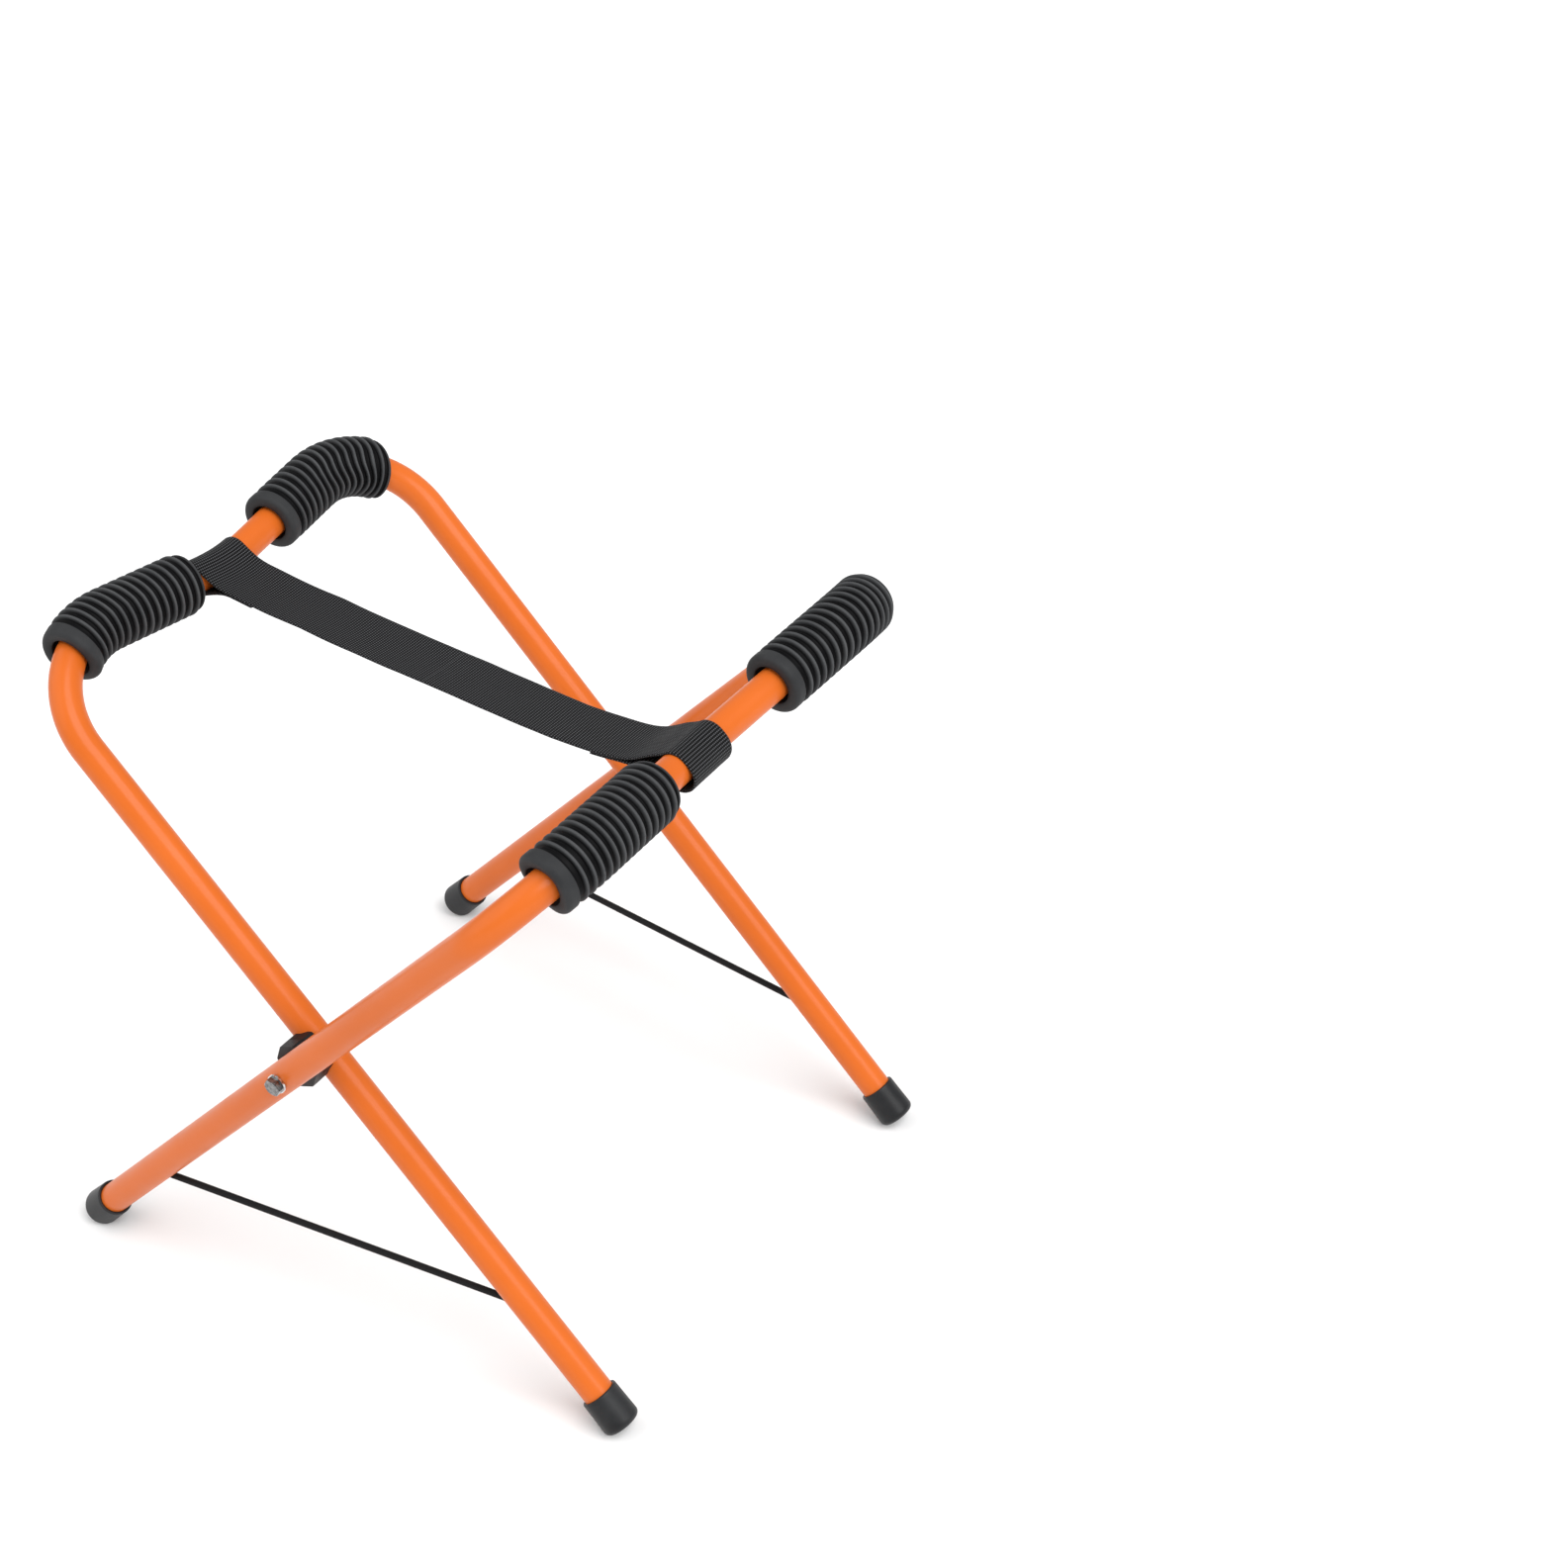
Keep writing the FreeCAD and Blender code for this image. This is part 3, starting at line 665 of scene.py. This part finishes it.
def hermite(p0, m0, p1, m1, t):
    """A point of the smooth curve from p0 to p1 that leaves along m0 and arrives along m1."""
    a, b = 2 * t ** 3 - 3 * t ** 2 + 1, t ** 3 - 2 * t ** 2 + t
    c, d = -2 * t ** 3 + 3 * t ** 2, t ** 3 - t ** 2
    return tuple(a * p0[k] + b * m0[k] + c * p1[k] + d * m1[k] for k in (0, 1))


def strap_run(facts):
    """Where the run leaves the bar, and its points from there."""
    fall = math.radians(facts["fall"])
    leave = (WRAP_RADIUS * math.sin(fall), WRAP_RADIUS * math.cos(fall))
    run = []
    previous, direction = leave, (math.cos(fall), -math.sin(fall))
    for x, z, slope in facts["run"]:
        length = math.hypot(x - previous[0], z - previous[1])
        after = (1 / math.hypot(1, slope), slope / math.hypot(1, slope))
        for k in range(1, 17):
            run.append(hermite(previous, (direction[0] * length, direction[1] * length), (x, z),
                               (after[0] * length, after[1] * length), k / 16))
        previous, direction = (x, z), after
    return leave, run


def run_height(run, x):
    """(height, slope) of the run at a place."""
    for a, b in zip(run, run[1:]):
        if a[0] <= x <= b[0]:
            t = (x - a[0]) / (b[0] - a[0])
            return a[1] + (b[1] - a[1]) * t, (b[1] - a[1]) / (b[0] - a[0])
    return run[-1][1], 0.0


def strap_line(facts):
    """The strap's points beside a bar: its sewn end under the run, its wrap round the bar and its run."""
    leave, run = strap_run(facts)
    line = []
    for x in stops(facts["end"], facts["seam"], STRAP_STEP):
        z, slope = run_height([leave] + run, x)
        line.append((x, z - STRAP_PLY - PLY_GAP))
    seam = line[-1]
    low = math.radians(facts["low_angle"])
    start = (WRAP_RADIUS * math.cos(low), WRAP_RADIUS * math.sin(low))
    span = math.hypot(seam[0] - start[0], seam[1] - start[1])
    into = (-span * 0.9, -slope * span * 0.9)
    out = (math.sin(low) * span * 1.05, -math.cos(low) * span * 1.05)
    for k in range(1, 19):
        line.append(hermite(seam, into, start, out, k / 18))
    top = math.radians(90 - facts["fall"])
    for k in range(1, 37):
        angle = low - (low + 2 * math.pi - top) * k / 36
        away = max(0.0, math.cos(angle - math.radians(facts["slack_angle"])))
        radius = WRAP_RADIUS + facts["slack"] * away ** 1.5
        line.append((radius * math.cos(angle), radius * math.sin(angle)))
    return line + run


def strap_point(which, w, x, z):
    """A point of the strap: w across it, (x, z) from the bar's middle there."""
    y = STRAPS[which]["shift"] + w
    return which.world(y, which.bar_height(y)) + Vector((-which.lean * x, 0, z))


def strap_half(which):
    """Rows of points of half of the strap, from its sewn end to its middle, and their places across it."""
    other = OUTER if which is INNER else INNER
    far_x, far_z = strap_run(STRAPS[other])[1][-1]
    slope = STRAPS[which]["run"][-1][2]
    widths = stops(-STRAP_WIDTH / 2, STRAP_WIDTH / 2, STRAP_STEP)
    rows = [[strap_point(which, w, x, z) for w in widths] for x, z in strap_line(STRAPS[which])]
    last = rows[-1]
    for k in range(1, 25):
        t = k / 24
        row = []
        for here, w in zip(last, widths):
            there = strap_point(other, w, far_x, far_z)
            middle_y = (here.y + there.y) / 2
            middle_z = (here.z + there.z) / 2 - STRAP_SAG
            z = here.z + slope * abs(here.x) * t * (1 - t) ** 2 + (middle_z - here.z) * t * t * (3 - 2 * t)
            row.append(Vector((here.x * (1 - t), here.y + (middle_y - here.y) * t, z)))
        rows.append(row)
    return rows, widths


def ripple(x, y):
    """A slight unevenness of the strap's surface, in mm."""
    return 0.35 * noise.noise(Vector((x * 0.035, y * 0.05, 3.7)))


def strap_normals(which, rows):
    """The direction out of the strap's upper face at each point."""
    normals = []
    for r, row in enumerate(rows):
        before, after = rows[max(0, r - 1)], rows[min(len(rows) - 1, r + 1)]
        line = []
        for c in range(len(row)):
            along = (after[c] - before[c]).normalized()
            side = (row[min(len(row) - 1, c + 1)] - row[max(0, c - 1)]).normalized()
            line.append(side.cross(along).normalized() * -which.lean)
        normals.append(line)
    return normals


def strap(which, name, nodes):
    """Half of the strap, as a band with thin selvedges, and its stitching."""
    rows, widths = strap_half(which)
    normals = strap_normals(which, rows)
    half, middle = STRAP_WIDTH / 2, len(widths) // 2
    travelled = [0.0]
    for a, b in zip(rows, rows[1:]):
        travelled.append(travelled[-1] + (b[middle] - a[middle]).length)
    # a ring goes across the top of the band and back across its underside, and each has its own weave
    top_uv, under_uv, flat_until, rippled_from = 30, 90, 60, 120
    band_rows, uvs = [], []
    for r, row in enumerate(rows):
        top, under = [], []
        for c, w in enumerate(widths):
            inner = smoothstep(half, half - SELVEDGE_WIDTH, abs(w))
            depth = STRAP_PLY / 2 * (inner * (1 - SELVEDGE_SHARE) + SELVEDGE_SHARE)
            lift = ripple(row[c].x, row[c].y) * smoothstep(flat_until, rippled_from, travelled[r])
            top.append((row[c] + normals[r][c] * (depth + lift), (top_uv + w) * MM))
            under.append((row[c] - normals[r][c] * (depth - lift), (under_uv - w) * MM))
        ring = top + under[::-1] + [(top[0][0], (under_uv + half + 3) * MM)]
        band_rows.append([p for p, _ in ring])
        uvs.append([(u, travelled[r] * MM) for _, u in ring])
    parts = [grid(band_rows, uvs, flip=which.lean > 0)]
    cut_end = list(range(len(band_rows[0]) - 1))
    parts.append((band_rows[0][:-1], [cut_end if which.lean > 0 else cut_end[::-1]], None, 0))
    parts += stitches(which, rows, normals, widths, travelled)
    obj = weld(piece(name, parts, [WEBBING, THREAD]))
    start = which.world(0, which.low_bar) * MM
    start.x -= which.lean * STRAP_LEAVES_BAR * MM
    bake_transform(obj)
    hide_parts(*nodes)


def capsule(start, end, up, radius):
    """A short bead of thread between two points."""
    along = end - start
    length = along.length
    along.normalize()
    side = along.cross(up).normalized()
    rows = []
    for t, r in ((0.0, 0.15), (0.12, 0.7), (0.35, 1.0), (0.65, 1.0), (0.88, 0.7), (1.0, 0.15)):
        centre = start + along * (length * t)
        rows.append([
            centre + (side * math.cos(phi) + up * (0.8 * math.sin(phi))) * (radius * r)
            for phi in circle(6)
        ])
    return grid(rows, index=1)


def stitches(which, rows, normals, widths, travelled):
    """Crosswise lines of stitching where the strap's end is sewn under its run."""
    facts = STRAPS[which]
    line_spacing, thread_radius, above = 4.3, 0.42, STRAP_PLY / 2 + 0.05
    past_return = 70
    found = []
    middle = len(widths) // 2
    centre_x = which.world(0, which.low_bar).x
    upper = [r for r in range(len(rows) // 4, len(rows)) if travelled[r] > past_return]
    for distance in stops(facts["seam"] + 1.5, facts["end"] - 2.0, line_spacing):
        best = min(upper, key=lambda r: abs(abs(rows[r][middle].x - centre_x) - distance))
        row, normal = rows[best], normals[best]
        for w in range(1, len(widths) - 2):
            start = row[w] + normal[w] * above
            end = row[w + 1] + normal[w + 1] * above
            gap = (end - start) * 0.14
            found.append(capsule(start + gap, end - gap, normal[w], thread_radius))
    return found


# ---------------------------------------------------------------- limit cords
def cord_ends(front):
    """Where a cord's line meets the centrelines of the outer and the inner leg."""
    reach = (PIVOT_HEIGHT - CORD_HEIGHT) * math.tan(HALF_ANGLE)
    at_outer = Vector((-reach, front * OUTER.half, CORD_HEIGHT))
    at_inner = Vector((reach, front * INNER.half, CORD_HEIGHT))
    return at_outer, at_inner


def cord_half(which, front, name):
    """Half of a limit cord, from inside its leg to the middle."""
    ends = cord_ends(front)
    source, target = ends if which is OUTER else ends[::-1]
    along = (target - source).normalized()
    start = source + along * CORD_START
    middle = (ends[0] + ends[1]) / 2
    side = along.cross(UP).normalized()
    over = side.cross(along)
    rows, uvs = [], []
    turns = circle(20)
    for t in stops(0.0, (middle - start).length, 2.0):
        centre = start + along * t
        rows.append([centre + (side * math.cos(p) + over * math.sin(p)) * CORD_RADIUS for p in turns])
        uvs.append([(p * CORD_RADIUS * MM, t * MM) for p in turns])
    rows = [[start.copy() for _ in turns]] + rows + [[middle.copy() for _ in turns]]
    uvs = [uvs[0]] + uvs + [uvs[-1]]
    obj = weld(piece(name, [grid(rows, uvs)], [BRAID]))
    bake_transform(obj)
    return obj


# ---------------------------------------------------------------- build
for which, word in ((OUTER, "outer"), (INNER, "inner")):
    bent_tube(which, word + "_frame_tube")
    for side, end in ((-1, "front"), (1, "rear")):
        foot_cap(which, side, f"{word}_foot_{end}")
grip(OUTER, -1, 78.0, "outer_grip_front")
grip(OUTER, 1, 71.0, "outer_grip_rear")
grip(INNER, -1, 39.0, "inner_grip_front")
grip(INNER, 1, 59.0, "inner_grip_rear", wavy=2.4)
strap(INNER, "strap_half_inner", ["strap_loop_inner", "strap_web"])
strap(OUTER, "strap_half_outer", ["strap_loop_outer", "strap_web"])
for front, end in ((-1, "front"), (1, "rear")):
    for which, word in ((OUTER, "outer"), (INNER, "inner")):
        half = cord_half(which, front, f"limit_cord_{end}_{word}")
        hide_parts("limit_cord_" + end)

FINISHES = {
    "pivot_bolt": ZINC, "bolt_head_washers": ZINC_WASHER, "nut_washers": ZINC_WASHER,
    "lock_nuts": ZINC, "nut_inserts": NYLON, "saddle": SADDLE, "cord_knots": BRAID,
}
for name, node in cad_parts.items():
    for words, material in FINISHES.items():
        if words in name:
            node.data.materials.clear()
            node.data.materials.append(material)


# ---------------------------------------------------------------- floor, lights and camera
def floor():
    mesh = bpy.data.meshes.new("floor")
    reach = 60.0
    corners = [(x * reach, y * reach, 0) for x, y in ((-1, -1), (1, -1), (1, 1), (-1, 1))]
    mesh.from_pydata(corners, [], [(0, 1, 2, 3)])
    n = Nodes("pale_floor")
    n.constants(Specular_IOR_Level=0.1)
    colour = n.ramp(n.noise(3.0), (0.3, (0.89, 0.89, 0.89)), (0.7, (0.91, 0.91, 0.91)))
    mesh.materials.append(n.finish(colour, n.range(n.noise(40.0), 0.3, 0.7, 0.75, 0.85)))
    link("floor", mesh)


def soft_light(name, towards, strength, spread):
    """A broad, distant soft light, from a direction."""
    data = bpy.data.lights.new(name, "SUN")
    data.energy = strength
    data.angle = math.radians(spread)
    obj = link(name, data)
    obj.location = Vector(towards).normalized() * 3
    obj.rotation_mode = "QUATERNION"
    obj.rotation_quaternion = Vector(towards).to_track_quat("Z", "Y")


floor()
soft_light("key", (0.6, -0.1, 0.8), 2.6, 50)
soft_light("fill", (-0.6, -0.5, 0.6), 1.0, 70)

world = bpy.data.worlds.new("studio")
world.use_nodes = True
background = world.node_tree.nodes["Background"]
background.inputs["Color"].default_value = (1, 1, 1, 1)
background.inputs["Strength"].default_value = 0.55
bpy.context.scene.world = world
bpy.context.scene.view_settings.view_transform = "Standard"

camera = bpy.data.cameras.new("camera")
camera.lens = 65.61
camera.sensor_width = 36.0
camera_object = link("camera", camera)
right = Vector((0.8353, 0.5486, -0.0355))
up = Vector((-0.3003, 0.5094, 0.8065))
back = Vector((0.4605, -0.6630, 0.5902))
turned = Matrix((right, up, back)).transposed().to_4x4()
camera_object.matrix_world = Matrix.Translation((1.2268, -1.3425, 1.6998)) @ turned
bpy.context.scene.camera = camera_object
